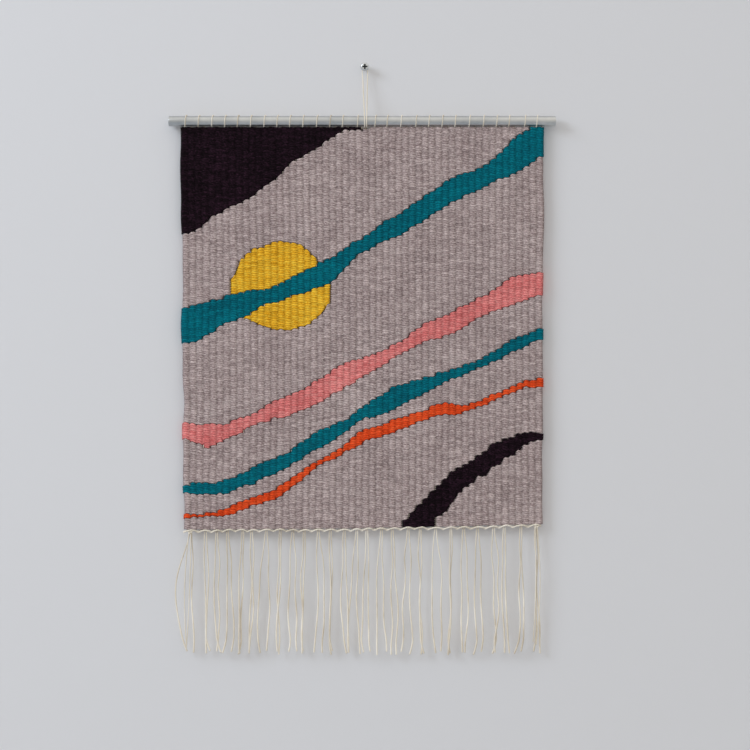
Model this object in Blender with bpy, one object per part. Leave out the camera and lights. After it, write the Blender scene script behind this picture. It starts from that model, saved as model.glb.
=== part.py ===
"""A hand-woven tapestry wall hanging on a round metal rod, hung by a cord from a wall screw.

The cloth is a weft-faced tapestry weave: cotton warp cords run down it and can't be seen, and
each colour is a wool yarn of its own, packed in front of and behind them. So each colour area
is a flat sleeve round its warp cords. Each warp cord is one hairpin: fringe, up through the
weave, over the rod, and down again to the fringe. A doubled cord is twined along the hem.

Metres. +X is to the viewer's right, +Z is up, and +Y points into the wall, whose face is Y = 0.
The origin is on the wall, where the screw goes in.
"""
import math

import bmesh
import bpy
import numpy as np
from mathutils import Vector

# Cloth
WEAVE_WIDTH = 0.352
WEAVE_HEIGHT = 0.392
WARP_PAIRS = 27
WARP_DIAMETER = 0.0012
SKIN = 0.0011            # weft in front of the warp, and behind it
FRINGE_LENGTH = 0.118
TAIL_DRIFT = 0.0018      # most that a fringe tail's end wanders sideways
TAIL_BOW = 0.0012        # most that a tail bows between hem and end
OUTER_BOW = 0.0065       # the leftmost tail bows out further
HEM_DIAMETER = 0.0018
HEM_DEPTH = 0.0024       # height of the twined hem between weave and fringe

# Rod, cord and screw
ROD_DIAMETER = 0.010
ROD_OVERHANG = 0.013     # past each selvedge
ROD_CHAMFER = 0.0005
CORD_DIAMETER = 0.0013
KNOT_DIAMETER = 0.004
HANG_DROP = 0.053        # from the screw's axis down to the rod's
HITCH_X = 0.0008         # where the cord goes round the rod
CLOTH_OFFSET = -0.0026   # the cord sits beside the middle warp loop, so the cloth is off centre
SCREW_SHANK = 0.0035
SCREW_HEAD = 0.0085
SCREW_HEAD_HEIGHT = 0.003
SCREW_STANDOFF = 0.007   # wall to the underside of the head
SCREW_IN_WALL = 0.028
RECESS_SPAN = 0.0044
RECESS_WIDTH = 0.0011
RECESS_DEPTH = 0.0016

# Clearances
GAP = 0.0003             # between pieces that touch
CORD_GAP = 0.0005        # round the rod, so that the rod can tilt in the cord
LOOSE_GAP = 0.0008       # between the hanging cord and the top of the weave
TILT_GAP = 0.0011        # between the hanging cord and the warp loop beside it
SHIFT_DEPTH = 0.012      # how far down the weave a loop that is pushed aside is back in its rib

# Worked out from the sizes above
RIBS = 2 * WARP_PAIRS
RIB = WEAVE_WIDTH / RIBS
ROD_LENGTH = WEAVE_WIDTH + 2 * ROD_OVERHANG
ROD_RADIUS = ROD_DIAMETER / 2
WARP_RADIUS = WARP_DIAMETER / 2
CORD_RADIUS = CORD_DIAMETER / 2
ROD_Y = -(ROD_RADIUS + 2 * GAP + WARP_DIAMETER + GAP)
ROD_Z = -HANG_DROP
LEFT = CLOTH_OFFSET - WEAVE_WIDTH / 2
TOP = ROD_Z - ROD_RADIUS - CORD_GAP - CORD_DIAMETER - LOOSE_GAP
BOTTOM = TOP - WEAVE_HEIGHT
CAVITY = WARP_RADIUS + GAP
HALF_CLOTH = CAVITY + SKIN
KNOT_PLACE = Vector((0, ROD_Y + HALF_CLOTH + GAP + KNOT_DIAMETER / 2, TOP - KNOT_DIAMETER / 2))
CORD_ON_SCREW_Y = -SCREW_STANDOFF / 2
CORD_POINT_SPACING = 2.2 * CORD_DIAMETER

# The weaver's cartoon. A point is (ribs from the left selvedge, per cent of the way down).
WEAVE_TOP = [(0, 0), (54, 0)]
WEAVE_BOTTOM = [(0, 100), (54, 100)]
PLUM_EDGE = [(0, 26), (2, 26), (6, 19.8), (9.5, 18), (13, 13.6), (16, 8.5), (24, 1.4), (25, 1)]
TEAL_UPPER_TOP = [(0, 44.9), (6.5, 41.6), (12, 40), (16.5, 37.4), (20.5, 34.3), (24, 29.7),
                  (27.5, 26.7), (31, 21.8), (40, 12.1), (44, 10.5), (46.5, 7.8), (50, 1.6),
                  (52, 0.5)]
TEAL_UPPER_BOTTOM = [(0, 52.9), (4, 51.3), (5.5, 49.1), (12, 44), (22, 38.7), (26.5, 31.1),
                     (32, 26.9), (38, 20.7), (47.5, 12.5), (51, 9.8), (54, 6.5)]
SUN_TOP = [(7, 39.2), (8, 34), (10, 30.5), (12, 28.6), (15, 27.9), (18, 29.6), (20, 32),
           (21, 33.2)]
SUN_BOTTOM = [(10, 47.7), (12, 49.3), (15, 50.3), (18, 49.2), (20, 46.8), (21, 45.2), (22, 42)]
PINK_TOP = [(0, 73.7), (6, 73.7), (10, 71.2), (14.5, 67), (18.5, 64.3), (23.5, 58.8), (28, 56.6),
            (32.5, 53.3), (35.5, 49.6), (45.5, 41.4), (49.5, 36.9), (54, 35.8)]
PINK_BOTTOM = [(0, 77.4), (3.5, 79.4), (7, 77.4), (10.5, 73.6), (15.5, 71.4), (21, 67.9),
               (28.5, 60), (36.5, 53.3), (41, 50.9), (44, 47.4), (54, 41.2)]
TEAL_LOWER_TOP = [(0, 88.7), (4, 88.6), (8, 86.5), (12.5, 82.7), (15, 81.6), (20, 75.2),
                  (24.5, 72.3), (29, 66.8), (33, 63.3), (37.5, 61.5), (44, 57.9), (50.5, 51.7),
                  (54, 49.5)]
TEAL_LOWER_BOTTOM = [(0, 91.1), (6, 91.2), (11, 88.1), (15.5, 84.5), (21, 79), (26.5, 72.8),
                     (31, 70.3), (39.5, 62.8), (43.5, 60.6), (54, 52.2)]
ORANGE_TOP = [(0, 96.3), (4, 96), (13.5, 90.4), (16.5, 86.7), (21.5, 81.8), (26.5, 75.8),
              (32, 72.1), (38.5, 68.6), (42.5, 68.6), (53, 62.1), (54, 61.8)]
ORANGE_BOTTOM = [(0, 97.2), (6.5, 96.4), (14.5, 91.9), (20, 84.5), (27.5, 77.4), (38, 71.5),
                 (42, 70.8), (51.5, 64.4), (54, 64.3)]
STROKE_TOP = [(33, 96.9), (35, 94.6), (39, 89.2), (41.5, 84.5), (46, 79), (50.5, 76.1), (54, 75.9)]
STROKE_BOTTOM = [(38, 98), (41.5, 91.5), (44.5, 87.1), (53, 77.8), (54, 77.2)]

# Ribs where every area is given a point, so that neighbours' facets match
STATIONS = (0, 3, 6, 8, 10, 12, 15, 18, 20, 21, 24, 27, 30, 33, 36, 39, 42, 45, 48, 51, 54)
STEP = 2 * GAP / RIB     # ribs that a step in an edge takes up

PLUM = (0.010, 0.005, 0.007)
GREY = (0.296, 0.238, 0.238)
TEAL = (0.002, 0.095, 0.127)
SUN = (0.571, 0.292, 0.018)
PINK = (0.479, 0.144, 0.136)
ORANGE = (0.440, 0.058, 0.020)
COTTON = (0.68, 0.63, 0.54)
ALUMINIUM = (0.60, 0.61, 0.62)
ZINC = (0.70, 0.71, 0.73)

# Each colour area: first rib, last rib, upper edge, lower edge, colour. An edge is its line,
# then the (first rib, last rib, line) of each piece that bites into it.
AREAS = {
    "weft_plum_corner": (0, 25, [WEAVE_TOP], [PLUM_EDGE], PLUM),
    "weft_grey_upper": (0, 52, [WEAVE_TOP, (0, 25, PLUM_EDGE)],
                        [TEAL_UPPER_TOP, (7, 21, SUN_TOP)], GREY),
    "weft_sun_upper": (7, 21, [SUN_TOP], [TEAL_UPPER_TOP], SUN),
    "weft_teal_upper": (0, 54, [WEAVE_TOP, (0, 52, TEAL_UPPER_TOP)], [TEAL_UPPER_BOTTOM], TEAL),
    "weft_sun_lower": (10, 22, [TEAL_UPPER_BOTTOM], [SUN_BOTTOM], SUN),
    "weft_grey_middle": (0, 54, [TEAL_UPPER_BOTTOM, (10, 22, SUN_BOTTOM)], [PINK_TOP], GREY),
    "weft_pink_stripe": (0, 54, [PINK_TOP], [PINK_BOTTOM], PINK),
    "weft_grey_lower": (0, 54, [PINK_BOTTOM], [TEAL_LOWER_TOP], GREY),
    "weft_teal_lower": (0, 54, [TEAL_LOWER_TOP], [TEAL_LOWER_BOTTOM], TEAL),
    "weft_grey_narrow": (0, 54, [TEAL_LOWER_BOTTOM], [ORANGE_TOP], GREY),
    "weft_orange_stripe": (0, 54, [ORANGE_TOP], [ORANGE_BOTTOM], ORANGE),
    "weft_grey_bottom": (0, 54, [ORANGE_BOTTOM], [WEAVE_BOTTOM, (33, 54, STROKE_TOP)], GREY),
    "weft_plum_stroke": (33, 54, [STROKE_TOP], [WEAVE_BOTTOM, (38, 54, STROKE_BOTTOM)], PLUM),
    "weft_grey_corner": (38, 54, [STROKE_BOTTOM], [WEAVE_BOTTOM], GREY),
}


def clear_scene():
    for item in list(bpy.data.objects):
        bpy.data.objects.remove(item, do_unlink=True)


def finish_material(name, colour, roughness, metallic=0.0):
    """A Principled material with a plain colour."""
    material = bpy.data.materials.new(name)
    material.use_nodes = True
    shader = material.node_tree.nodes["Principled BSDF"]
    shader.inputs["Base Color"].default_value = (*colour, 1.0)
    shader.inputs["Roughness"].default_value = roughness
    shader.inputs["Metallic"].default_value = metallic
    return material


def add_object(name, data, material):
    item = bpy.data.objects.new(name, data)
    data.materials.append(material)
    bpy.context.scene.collection.objects.link(item)
    return item


def empty_at(name, place):
    """A pivot that the moving pieces are parented to."""
    pivot = bpy.data.objects.new(name, None)
    pivot.location = place
    bpy.context.scene.collection.objects.link(pivot)
    return pivot


def smooth_route(points, spacing):
    """Points every `spacing` along a Catmull-Rom curve through the given points."""
    ends = [2 * points[0] - points[1], *points, 2 * points[-1] - points[-2]]
    fine = []
    for before, start, stop, after in zip(ends, ends[1:], ends[2:], ends[3:]):
        for part in range(12):
            t = part / 12
            fine.append(0.5 * (2 * start + (stop - before) * t
                               + (2 * before - 5 * start + 4 * stop - after) * t ** 2
                               + (3 * start - before - 3 * stop + after) * t ** 3))
    fine.append(points[-1])
    along = np.cumsum([0] + [(b - a).length for a, b in zip(fine, fine[1:])])
    count = max(2, round(along[-1] / spacing) + 1)
    wanted = np.linspace(0, along[-1], count)
    axes = [np.interp(wanted, along, [point[axis] for point in fine]) for axis in range(3)]
    return [Vector(point) for point in zip(*axes)]


def cord_tube(name, points, diameter, sides_level, material, closed=False):
    """A round cord: a bevelled curve with filled caps, straight between its points."""
    curve = bpy.data.curves.new(name, "CURVE")
    curve.dimensions = "3D"
    curve.bevel_depth = diameter / 2
    curve.bevel_resolution = sides_level
    curve.use_fill_caps = not closed
    spline = curve.splines.new("POLY")
    spline.points.add(len(points) - 1)
    for point, place in zip(spline.points, points):
        point.co = (*place, 1.0)
    spline.use_cyclic_u = closed
    return add_object(name, curve, material)


def turned_mesh(name, profile, steps):
    """A (radius, distance) profile turned about +Y, with both its ends on the axis."""
    shape = bmesh.new()
    points = [shape.verts.new((radius, distance, 0)) for radius, distance in profile]
    lines = [shape.edges.new(pair) for pair in zip(points, points[1:])]
    bmesh.ops.spin(shape, geom=points + lines, cent=(0, 0, 0), axis=(0, 1, 0),
                   angle=math.tau, steps=steps, use_merge=True)
    bmesh.ops.remove_doubles(shape, verts=shape.verts, dist=1e-6)
    bmesh.ops.recalc_face_normals(shape, faces=shape.faces)
    mesh = bpy.data.meshes.new(name)
    shape.to_mesh(mesh)
    shape.free()
    mesh.shade_smooth()
    mesh.set_sharp_from_angle(angle=math.radians(35))
    return mesh


def make_screw(material):
    """A pan-head wood screw with a cross recess, on the Y axis."""
    head, shank = SCREW_HEAD / 2, SCREW_SHANK / 2
    under = -SCREW_STANDOFF
    front = under - SCREW_HEAD_HEIGHT
    point_length = 1.6 * SCREW_SHANK
    profile = [(0, SCREW_IN_WALL), (shank, SCREW_IN_WALL - point_length), (shank, under),
               (head, under), (head, under - 0.35 * SCREW_HEAD_HEIGHT)]
    for part in (1, 2, 3):
        turn = math.radians(90 * part / 4)
        profile.append((head * (0.6 + 0.4 * math.cos(turn)),
                        under - SCREW_HEAD_HEIGHT * (0.35 + 0.65 * math.sin(turn))))
    profile += [(head * 0.6, front), (0, front)]
    screw = add_object("wall_screw", turned_mesh("wall_screw", profile, 24), material)
    cut = screw.modifiers.new("recess", "BOOLEAN")
    cut.operation = "DIFFERENCE"
    cut.object = recess_cutter(front)
    return screw


def recess_cutter(front):
    """A cross-shaped bar that sinks RECESS_DEPTH into the head."""
    half, arm = RECESS_WIDTH / 2, RECESS_SPAN / 2
    corner = [(half, arm), (half, half), (arm, half)]
    outline = []
    for quarter in range(4):
        turn = -math.radians(90 * quarter)
        for x, z in corner:
            outline.append((x * math.cos(turn) - z * math.sin(turn),
                            x * math.sin(turn) + z * math.cos(turn)))
    shape = bmesh.new()
    face = shape.faces.new([shape.verts.new((x, front + RECESS_DEPTH, z)) for x, z in outline])
    grown = bmesh.ops.extrude_face_region(shape, geom=[face])
    moved = [item for item in grown["geom"] if isinstance(item, bmesh.types.BMVert)]
    bmesh.ops.translate(shape, verts=moved, vec=(0, -2 * RECESS_DEPTH, 0))
    bmesh.ops.recalc_face_normals(shape, faces=shape.faces)
    mesh = bpy.data.meshes.new("recess_cutter")
    shape.to_mesh(mesh)
    shape.free()
    cutter = bpy.data.objects.new("recess_cutter", mesh)
    cutter.hide_render = True
    cutter.display_type = "WIRE"
    bpy.context.scene.collection.objects.link(cutter)
    return cutter


def make_rod(pivot, material):
    """A solid bar with chamfered ends, turned about Y and then laid along X."""
    half = ROD_LENGTH / 2
    profile = [(0, half), (ROD_RADIUS - ROD_CHAMFER, half), (ROD_RADIUS, half - ROD_CHAMFER),
               (ROD_RADIUS, ROD_CHAMFER - half), (ROD_RADIUS - ROD_CHAMFER, -half), (0, -half)]
    rod = add_object("hanging_rod", turned_mesh("hanging_rod", profile, 32), material)
    rod.rotation_euler = (0, 0, math.radians(90))
    rod.parent = pivot
    rod.location = (CLOTH_OFFSET, 0, 0)


def hanging_route():
    """From the knot under the rod, up its front and to the screw, over it, and back again.

    One half is laid out at X > 0 and mirrored; the strands between rod and screw are straight.
    """
    wrap = ROD_RADIUS + CORD_GAP + CORD_RADIUS
    spread = CORD_RADIUS + GAP
    over = SCREW_SHANK / 2 + GAP + CORD_RADIUS
    rod = Vector((spread, ROD_Y, ROD_Z))
    half = [KNOT_PLACE + Vector((spread / 2, -CORD_GAP, KNOT_DIAMETER / 2 + GAP)),
            rod + Vector((0, 0.40 * wrap, -0.95 * wrap))]
    for turn in (0, 30, 60, 90):
        angle = math.radians(turn)
        half.append(rod + Vector((0, -wrap * math.sin(angle), -wrap * math.cos(angle))))
    strand_end = Vector((over, CORD_ON_SCREW_Y, 0))
    half += [half[-1].lerp(strand_end, share) for share in (0.1, 0.3, 0.5, 0.7, 0.9)]
    half += [strand_end, Vector((0.71 * over, CORD_ON_SCREW_Y, 0.71 * over))]
    other = [Vector((-point.x, point.y, point.z)) for point in reversed(half)]
    route = smooth_route([*half, Vector((0, CORD_ON_SCREW_Y, over)), *other],
                         CORD_POINT_SPACING)
    for point in route:
        point.x += HITCH_X * min(max(point.z / ROD_Z, 0), 1)
    return route


def make_hanging_cord(cord_material):
    """The cord, and the knot that joins its two ends behind the cloth."""
    cord_tube("hanging_cord", hanging_route(), CORD_DIAMETER, 2, cord_material)
    shape = bmesh.new()
    bmesh.ops.create_uvsphere(shape, u_segments=10, v_segments=7, radius=KNOT_DIAMETER / 2)
    mesh = bpy.data.meshes.new("hanging_knot")
    shape.to_mesh(mesh)
    shape.free()
    knot = add_object("hanging_knot", mesh, cord_material)
    knot.location = KNOT_PLACE + Vector((HITCH_X, 0, 0))


def make_warp_pair(number, pivot, material):
    """One hairpin of warp cord: two legs in the cloth, a loop over the rod and two tails."""
    wrap = (ROD_RADIUS + GAP + WARP_RADIUS) / math.cos(math.radians(15))
    left = LEFT + (2 * number + 0.5) * RIB
    right = left + RIB
    end = BOTTOM - HEM_DEPTH - FRINGE_LENGTH
    aside = loop_shift(left, right)
    depth = TOP - SHIFT_DEPTH
    points = [*tail_points(left, 2 * number, end), Vector((left, ROD_Y, depth))]
    for turn in range(0, 361, 30):
        angle = math.radians(turn)
        across = left + RIB * turn / 360 + aside
        points.append(Vector((across, ROD_Y - wrap * math.sin(angle),
                              ROD_Z - wrap * math.cos(angle))))
    points.append(Vector((right, ROD_Y, depth)))
    points += reversed(tail_points(right, 2 * number + 1, end))
    local = [point - pivot.location for point in points]
    name = f"warp_{number + 1:02d}"
    cord_tube(name, local, WARP_DIAMETER, 1, material).parent = pivot


def loop_shift(left, right):
    """How far a loop slides along the rod to leave room for the hanging cord."""
    clear = GAP + CORD_DIAMETER + TILT_GAP + WARP_RADIUS
    to_left = right - (HITCH_X - clear)
    to_right = (HITCH_X + clear) - left
    if to_left <= 0 or to_right <= 0:
        return 0
    return -to_left if to_left < to_right else to_right


def tail_points(across, leg, end):
    """A fringe tail from its cut end up to the hem: it drifts a little, the first one most."""
    drift = TAIL_DRIFT * math.sin(2.4 * leg + 0.6)
    bow = OUTER_BOW if leg == 0 else TAIL_BOW * math.sin(1.7 * leg)
    hem = BOTTOM - HEM_DEPTH
    tail = []
    for part in (1.0, 0.6, 0.3, 0.0):
        x = across + drift * part - bow * math.sin(math.pi * part)
        tail.append(Vector((x, ROD_Y, hem + (end - hem) * part)))
    return tail


def make_hem(pivot, material):
    """The hem cord, doubled round all the warp cords: a flat ring in front and behind."""
    reach = WARP_RADIUS + GAP + HEM_DIAMETER / 2
    first = LEFT + 0.5 * RIB
    last = first + (RIBS - 1) * RIB
    height = BOTTOM - HEM_DEPTH / 2
    points = []
    for centre, start in ((last, -90), (first, 90)):
        for turn in range(start, start + 181, 45):
            angle = math.radians(turn)
            points.append(Vector((centre + reach * math.cos(angle),
                                  ROD_Y + reach * math.sin(angle), height)))
    local = [point - pivot.location for point in points]
    cord_tube("hem_twining", local, HEM_DIAMETER, 1, material, closed=True).parent = pivot


def edge_height(edge, rib):
    """The height of an edge at a rib, read off its line or off the piece that bites it."""
    line = edge[0]
    for first, last, bite in edge[1:]:
        if first - 1e-6 <= rib <= last + 1e-6:
            line = bite
    share = np.interp(rib, [point[0] for point in line], [point[1] for point in line]) / 100
    return TOP - WEAVE_HEIGHT * share


def area_ribs(first, last, edges):
    """The ribs where an area has points: the stations, its end turns and any steps."""
    inset = GAP / 2 / RIB
    turn = SKIN / RIB
    ribs = [first + inset, first + inset + turn, last - inset - turn, last - inset]
    ribs += [rib for rib in STATIONS if first + 0.5 < rib < last - 0.5]
    for edge in edges:
        for start, stop, _ in edge[1:]:
            ribs += [rib for rib in (start - STEP, start, stop, stop + STEP)
                     if first + 0.5 < rib < last - 0.5]
    return sorted(set(ribs))


def make_area(name, spec, pivot, material):
    """A flat sleeve of weft: two skins with the warp between them, joined at both ends.

    It is laid out as cells, station by station across and front to back, and a face goes
    wherever a filled cell meets an empty one.
    """
    first, last, upper, lower, _ = spec
    ribs = area_ribs(first, last, (upper, lower))
    depths = (-HALF_CLOTH, -CAVITY, CAVITY, HALF_CLOTH)
    shape = bmesh.new()
    corner = {}
    for column, rib in enumerate(ribs):
        heights = (edge_height(lower, rib) + GAP * 0.8, edge_height(upper, rib) - GAP * 0.8)
        for level, depth in enumerate(depths):
            for side, height in enumerate(heights):
                place = Vector((LEFT + rib * RIB, ROD_Y + depth, height)) - pivot.location
                corner[column, level, side] = shape.verts.new(place)

    def filled(column, level):
        inside = 0 <= column < len(ribs) - 1 and 0 <= level < 3
        return inside and (level != 1 or column in (0, len(ribs) - 2))

    def face(*keys):
        shape.faces.new([corner[key] for key in keys])

    for column in range(len(ribs) - 1):
        for level in range(3):
            if not filled(column, level):
                continue
            after, back = column + 1, level + 1
            for side in (0, 1):
                face((column, level, side), (after, level, side), (after, back, side),
                     (column, back, side))
            for ahead, depth in ((level - 1, level), (level + 1, back)):
                if not filled(column, ahead):
                    face((column, depth, 0), (after, depth, 0), (after, depth, 1),
                         (column, depth, 1))
            for beside, place in ((column - 1, column), (column + 1, after)):
                if not filled(beside, level):
                    face((place, level, 0), (place, back, 0), (place, back, 1),
                         (place, level, 1))
    bmesh.ops.delete(shape, geom=[v for v in shape.verts if not v.link_faces], context="VERTS")
    bmesh.ops.recalc_face_normals(shape, faces=shape.faces)
    mesh = bpy.data.meshes.new(name)
    shape.to_mesh(mesh)
    shape.free()
    add_object(name, mesh, material).parent = pivot


def main():
    clear_scene()
    cotton = finish_material("cotton_cord", COTTON, 0.9)
    make_screw(finish_material("zinc_plate", ZINC, 0.3, 1.0))
    rod_pivot = empty_at("rod_pivot", (0, ROD_Y, ROD_Z))
    cloth_pivot = empty_at("cloth_pivot", (0, ROD_Y, ROD_Z))
    bpy.context.view_layer.update()
    make_rod(rod_pivot, finish_material("brushed_aluminium", ALUMINIUM, 0.35, 1.0))
    make_hanging_cord(cotton)
    for number in range(WARP_PAIRS):
        make_warp_pair(number, cloth_pivot, cotton)
    make_hem(cloth_pivot, cotton)
    for name, spec in AREAS.items():
        make_area(name, spec, cloth_pivot, finish_material(name + "_wool", spec[4], 0.95))


main()
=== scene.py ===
# %% [markdown]
# # A hand-woven tapestry on a metal rod
# This lesson builds a small wall hanging: a weft-faced wool tapestry on cotton warp cords, hung
# from an aluminium rod by one cord that goes over a screw in the wall. The solid model gives the
# sizes and says which pieces move together.

# %% Load the solid model
import math

import bpy
import numpy as np
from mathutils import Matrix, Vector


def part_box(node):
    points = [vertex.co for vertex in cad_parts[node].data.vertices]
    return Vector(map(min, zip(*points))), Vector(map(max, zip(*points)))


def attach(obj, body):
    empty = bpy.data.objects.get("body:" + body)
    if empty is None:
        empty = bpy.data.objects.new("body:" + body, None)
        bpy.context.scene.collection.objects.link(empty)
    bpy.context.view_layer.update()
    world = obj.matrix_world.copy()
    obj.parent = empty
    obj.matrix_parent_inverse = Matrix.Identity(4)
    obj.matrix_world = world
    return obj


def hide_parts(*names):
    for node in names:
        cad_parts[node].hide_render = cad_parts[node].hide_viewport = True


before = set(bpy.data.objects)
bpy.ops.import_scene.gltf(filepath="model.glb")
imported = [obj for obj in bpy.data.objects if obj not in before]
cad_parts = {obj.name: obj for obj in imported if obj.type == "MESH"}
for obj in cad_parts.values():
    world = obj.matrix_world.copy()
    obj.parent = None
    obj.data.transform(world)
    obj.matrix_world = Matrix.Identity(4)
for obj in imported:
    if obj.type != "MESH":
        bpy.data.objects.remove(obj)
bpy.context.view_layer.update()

MM = 0.001

# %% [markdown]
# ## Sizes
# Everything is placed from the solid model's own boxes. The rod gives its axis and radius, and
# the wool solids together give the cloth's edges. There are 54 warp cords, and each makes a rib.

# %% Read the sizes off the solid model
rod_low, rod_high = np.array(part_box("hanging_rod"))
ROD_X, ROD_Y, ROD_Z = ((rod_low + rod_high) / 2).tolist()
ROD_HALF, _, ROD_RADIUS = ((rod_high - rod_low) / 2).tolist()
wool_boxes = np.array([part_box(name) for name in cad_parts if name.startswith("weft_")])
LEFT, _, BOTTOM = wool_boxes[:, 0].min(axis=0).tolist()
RIGHT, _, TOP = wool_boxes[:, 1].max(axis=0).tolist()
RIBS = 54
RIB = (RIGHT - LEFT) / RIBS
FRINGE_END = float(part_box("warp_10")[0][2])
WARP_RADIUS = 0.6 * MM
WALL_Y = 0.0
print(f"cloth {RIGHT - LEFT:.4f} x {TOP - BOTTOM:.4f} m, rib {RIB / MM:.2f} mm, "
      f"rod {2 * ROD_RADIUS / MM:.1f} mm across")

# %% [markdown]
# ## Camera
# A hanging is seen straight on, from far enough away that its edges stay parallel. The width of
# the view at the cloth, 0.73 m, and the distance, 2 m, fix the lens.

# %% Camera
VIEW_WIDTH = 0.7328
VIEW_X = 0.0099
VIEW_Z = -0.301
CAMERA_BACK = 2.0
camera = bpy.data.objects.new("camera", bpy.data.cameras.new("camera"))
camera.data.lens = camera.data.sensor_width * (CAMERA_BACK + ROD_Y) / VIEW_WIDTH
camera.location = (VIEW_X, -CAMERA_BACK, VIEW_Z)
camera.rotation_euler = (math.radians(90), 0, 0)
bpy.context.scene.collection.objects.link(camera)
bpy.context.scene.camera = camera
bpy.context.scene.view_settings.view_transform = "Standard"
print(f"lens {camera.data.lens:.1f} mm")

# %% [markdown]
# ## A helper for materials
# A finish is a chain of shader nodes. One small function adds a node, sets its values and joins
# its inputs. Colours are hex codes, as on a paint chart, turned to the linear light that
# Blender mixes.

# %% Colour and node helpers
def linear(code):
    """Turn an sRGB hex code to linear: c / 12.92 below 0.04045, else ((c + 0.055) / 1.055)^2.4."""
    channel = np.array([int(code[i:i + 2], 16) for i in (1, 3, 5)]) / 255
    light = np.where(channel <= 0.04045, channel / 12.92, ((channel + 0.055) / 1.055) ** 2.4)
    return (*light.tolist(), 1.0)


def add_node(tree, kind, settings=None, **inputs):
    """Add one shader node. An input is a value, an output to join it to, or a node whose first
    output it is joined to. i0, i1 and i2 are inputs by number, and an underscore is a space."""
    node = tree.nodes.new("ShaderNode" + kind)
    for name, value in (settings or {}).items():
        setattr(node, name, value)
    for name, value in inputs.items():
        key = int(name[1]) if name in ("i0", "i1", "i2") else name.replace("_", " ")
        if isinstance(value, bpy.types.Node):
            value = value.outputs[0]
        if isinstance(value, bpy.types.NodeSocket):
            tree.links.new(value, node.inputs[key])
        else:
            node.inputs[key].default_value = value
    return node


def new_material(name, build, *values):
    """A material whose surface is the shader node that build(tree, *values) ends with."""
    material = bpy.data.materials.new(name)
    material.use_nodes = True
    tree = material.node_tree
    tree.nodes.clear()
    add_node(tree, "OutputMaterial", Surface=build(tree, *values))
    return material


def set_ramp(node, *stops):
    """Give a colour ramp its (place, hex code) stops."""
    ramp = node.color_ramp
    while len(ramp.elements) < len(stops):
        ramp.elements.new(0.5)
    for element, (place, code) in zip(ramp.elements, stops):
        element.position = place
        element.color = linear(code)


MULTIPLY_ADD = {"operation": "MULTIPLY_ADD"}
print("mid grey in linear light:", round(linear("#808080")[0], 3))

# %% [markdown]
# ## Cotton twine
# The warp, the hem and the hanging cord are cotton twine, a few plies twisted hard together. The
# plies are real grooves in the mesh, so the material only adds fine hairs along the twist, and a
# warm, slightly uneven off-white.

# %% Cotton twine material
def cotton_twine(tree, deep, pale, worn):
    """Unbleached spun cotton: matt, warm off-white, with hair-fine streaks along the cord.

    The streaks are 2.5 mm long, on a UV map with U in metres along the cord, V once round it.
    """
    along = add_node(tree, "UVMap", {"uv_map": "cord"})
    hairs_at = add_node(tree, "Mapping", Vector=along, Scale=(400, 9, 1),
                        Rotation=(0, 0, math.radians(20)))
    hairs = add_node(tree, "TexNoise", Vector=hairs_at, Scale=1.0, Detail=3.0, Roughness=0.6)
    place = add_node(tree, "TexCoord").outputs["Object"]
    patches = add_node(tree, "TexNoise", Vector=place, Scale=38.0, Detail=2.0)
    both = add_node(tree, "Math", MULTIPLY_ADD, i0=hairs, i1=0.6, i2=patches)
    colour = add_node(tree, "ValToRGB", Fac=both)
    set_ramp(colour, (0.45, deep), (0.75, pale), (1.0, worn))
    bump = add_node(tree, "Bump", Height=hairs, Strength=0.5, Distance=0.12 * MM)
    return add_node(tree, "BsdfPrincipled", Base_Color=colour, Roughness=0.9, Normal=bump,
                    Sheen_Weight=0.15, Sheen_Roughness=0.5)


TWINE = new_material("unbleached_cotton_twine", cotton_twine, "#b8aa94", "#ddd3c1", "#efe8da")
CORD = new_material("bleached_cotton_cord", cotton_twine, "#cdc2af", "#e2d9c8", "#efe8dc")
print("made", TWINE.name, "and", CORD.name)

# %% [markdown]
# ## Surfaces from grids
# Almost everything here is a grid of points. Numpy works out all of them at once, and
# `from_pydata` puts them in a mesh.

# %% Mesh helpers
def add_object(name, points, faces, material):
    """A new object from points and faces."""
    mesh = bpy.data.meshes.new(name)
    mesh.from_pydata(points, [], faces)
    mesh.materials.append(material)
    thing = bpy.data.objects.new(name, mesh)
    bpy.context.scene.collection.objects.link(thing)
    return thing


def add_piece(name, points, faces, material, body, slot, node):
    """A smooth object that rides on a body and stands for a node of the solid model."""
    piece = add_object(name, points, faces, material)
    piece.data.shade_smooth()
    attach(piece, body)
    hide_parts(node)
    return piece


def ring_quads(rings, count, corners):
    """Quads that join each ring of points to the next, with the ring and spot each starts at."""
    ring, spot = (grid.ravel() for grid in np.mgrid[:rings - 1, :count])
    quads = np.stack([(ring + i) * count + (spot + j) % count for i, j in corners], axis=1)
    return ring, spot, quads


def unit(vectors):
    """Vectors scaled to a length of one."""
    return vectors / np.linalg.norm(vectors, axis=-1, keepdims=True)


def distances(path):
    """How far along a path each of its points is."""
    return np.concatenate([[0], np.cumsum(np.linalg.norm(np.diff(path, axis=0), axis=1))])


def smooth_route(points, spacing):
    """Points every `spacing` along a Catmull-Rom curve through the given points."""
    given = np.vstack([2 * points[0] - points[1], points, 2 * points[-1] - points[-2]])
    before, start, stop, after = (given[i:len(given) - 3 + i, None] for i in range(4))
    t = np.arange(12)[None, :, None] / 12
    fine = 0.5 * (2 * start + (stop - before) * t
                  + (2 * before - 5 * start + 4 * stop - after) * t ** 2
                  + (3 * start - before - 3 * stop + after) * t ** 3)
    fine = np.vstack([fine.reshape(-1, 3), points[-1]])
    along = distances(fine)
    wanted = np.linspace(0, along[-1], max(2, round(along[-1] / spacing) + 1))
    return np.stack([np.interp(wanted, along, fine[:, axis]) for axis in range(3)], axis=1)


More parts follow.
